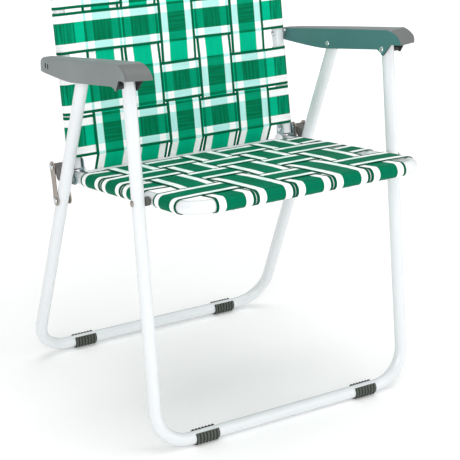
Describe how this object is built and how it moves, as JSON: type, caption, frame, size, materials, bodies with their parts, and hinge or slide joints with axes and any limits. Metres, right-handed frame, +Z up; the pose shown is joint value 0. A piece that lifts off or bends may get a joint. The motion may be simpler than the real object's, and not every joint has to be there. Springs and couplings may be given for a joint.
{
  "type": "folding lawn chair",
  "caption": "Folding lawn chair of bent white tube with grey armrests and woven green and white webbing; seat, back, arms and rear legs fold flat together on links.",
  "frame": {"origin": "floor level, under the centre of the open chair's box", "axes": "+Z up, the sitter faces -Y, X across the chair; left and right as seen from the front"},
  "size_m": [0.5194, 0.5168, 0.8024],
  "materials": {
    "white_paint": "glossy white enamel",
    "grey_plastic": "moulded grey, satin",
    "dark_rubber": "dark grey-green, matt",
    "zinc": "zinc plated",
    "nylon": "white",
    "webbing": "green and white woven tape"
  },
  "bodies": {
    "front_legs": {"front_leg_frame": "white_paint", "front_foot_left": "dark_rubber", "front_foot_right": "dark_rubber", "seat_pivot_rivet_left": "zinc", "seat_pivot_rivet_right": "zinc"},
    "arms": {"armrest_left": "grey_plastic", "armrest_right": "grey_plastic", "arm_front_rivet_left": "zinc", "arm_front_rivet_right": "zinc", "arm_rear_rivet_left": "zinc", "arm_rear_rivet_right": "zinc", "arm_back_rivet_left": "zinc", "arm_back_rivet_right": "zinc"},
    "rear_legs": {"rear_leg_frame": "white_paint", "rear_foot_left": "dark_rubber", "rear_foot_right": "dark_rubber", "link_lower_rivet_left": "zinc", "link_lower_rivet_right": "zinc"},
    "links": {"fold_link_inner_left": "zinc", "fold_link_inner_right": "zinc", "fold_link_outer_left": "zinc", "fold_link_outer_right": "zinc", "link_saddle_left": "grey_plastic", "link_saddle_right": "grey_plastic", "link_upper_rivet_left": "zinc", "link_upper_rivet_right": "zinc"},
    "seat": {"seat_frame": "white_paint", "seat_rear_rod": "white_paint", "rod_collar_left": "nylon", "rod_collar_right": "nylon", "seat_pivot_spacer_left": "dark_rubber", "seat_pivot_spacer_right": "dark_rubber", "hinge_plate_inner_left": "zinc", "hinge_plate_inner_right": "zinc", "hinge_plate_outer_left": "zinc", "hinge_plate_outer_right": "zinc", "hinge_rivet_left": "zinc", "hinge_rivet_right": "zinc", "seat_strap_long_1": "webbing", "seat_strap_long_2": "webbing", "seat_strap_long_3": "webbing", "seat_strap_long_4": "webbing", "seat_strap_long_5": "webbing", "seat_strap_cross_1": "webbing", "seat_strap_cross_2": "webbing", "seat_strap_cross_3": "webbing", "seat_strap_cross_4": "webbing"},
    "back": {"back_frame": "white_paint", "back_strap_long_1": "webbing", "back_strap_long_2": "webbing", "back_strap_long_3": "webbing", "back_strap_long_4": "webbing", "back_strap_long_5": "webbing", "back_strap_cross_1": "webbing", "back_strap_cross_2": "webbing", "back_strap_cross_3": "webbing", "back_strap_cross_4": "webbing", "back_strap_cross_5": "webbing"}
  },
  "joints": [
    {"name": "seat_fold", "type": "hinge", "parent": "front_legs", "child": "seat", "pos_m": [0, -0.1423, 0.39026], "axis": [-1, 0, 0], "range_deg": [0, 82]},
    {"name": "back_fold", "type": "hinge", "parent": "seat", "child": "back", "pos_m": [0, 0.12795, 0.37893], "axis": [1, 0, 0], "range_deg": [0, 83.7]},
    {"name": "arms_fold", "type": "hinge", "parent": "front_legs", "child": "arms", "pos_m": [0, -0.1214, 0.563], "axis": [-1, 0, 0], "range_deg": [0, 80.6]},
    {"name": "rear_legs_fold", "type": "hinge", "parent": "arms", "child": "rear_legs", "pos_m": [0, 0.02655, 0.54672], "axis": [1, 0, 0], "range_deg": [0, 54.7]},
    {"name": "links_fold", "type": "hinge", "parent": "rear_legs", "child": "links", "pos_m": [0, 0.11762, 0.32467], "axis": [-1, 0, 0], "range_deg": [0, 130.5]}
  ],
  "couplings": [
    {"joint": "arms_fold", "follows": "seat_fold", "ratio": 0.9814},
    {"joint": "back_fold", "follows": "seat_fold", "ratio": 1.0194},
    {"joint": "rear_legs_fold", "follows": "seat_fold", "ratio": 0.66477},
    {"joint": "links_fold", "follows": "seat_fold", "ratio": 1.5889}
  ]
}
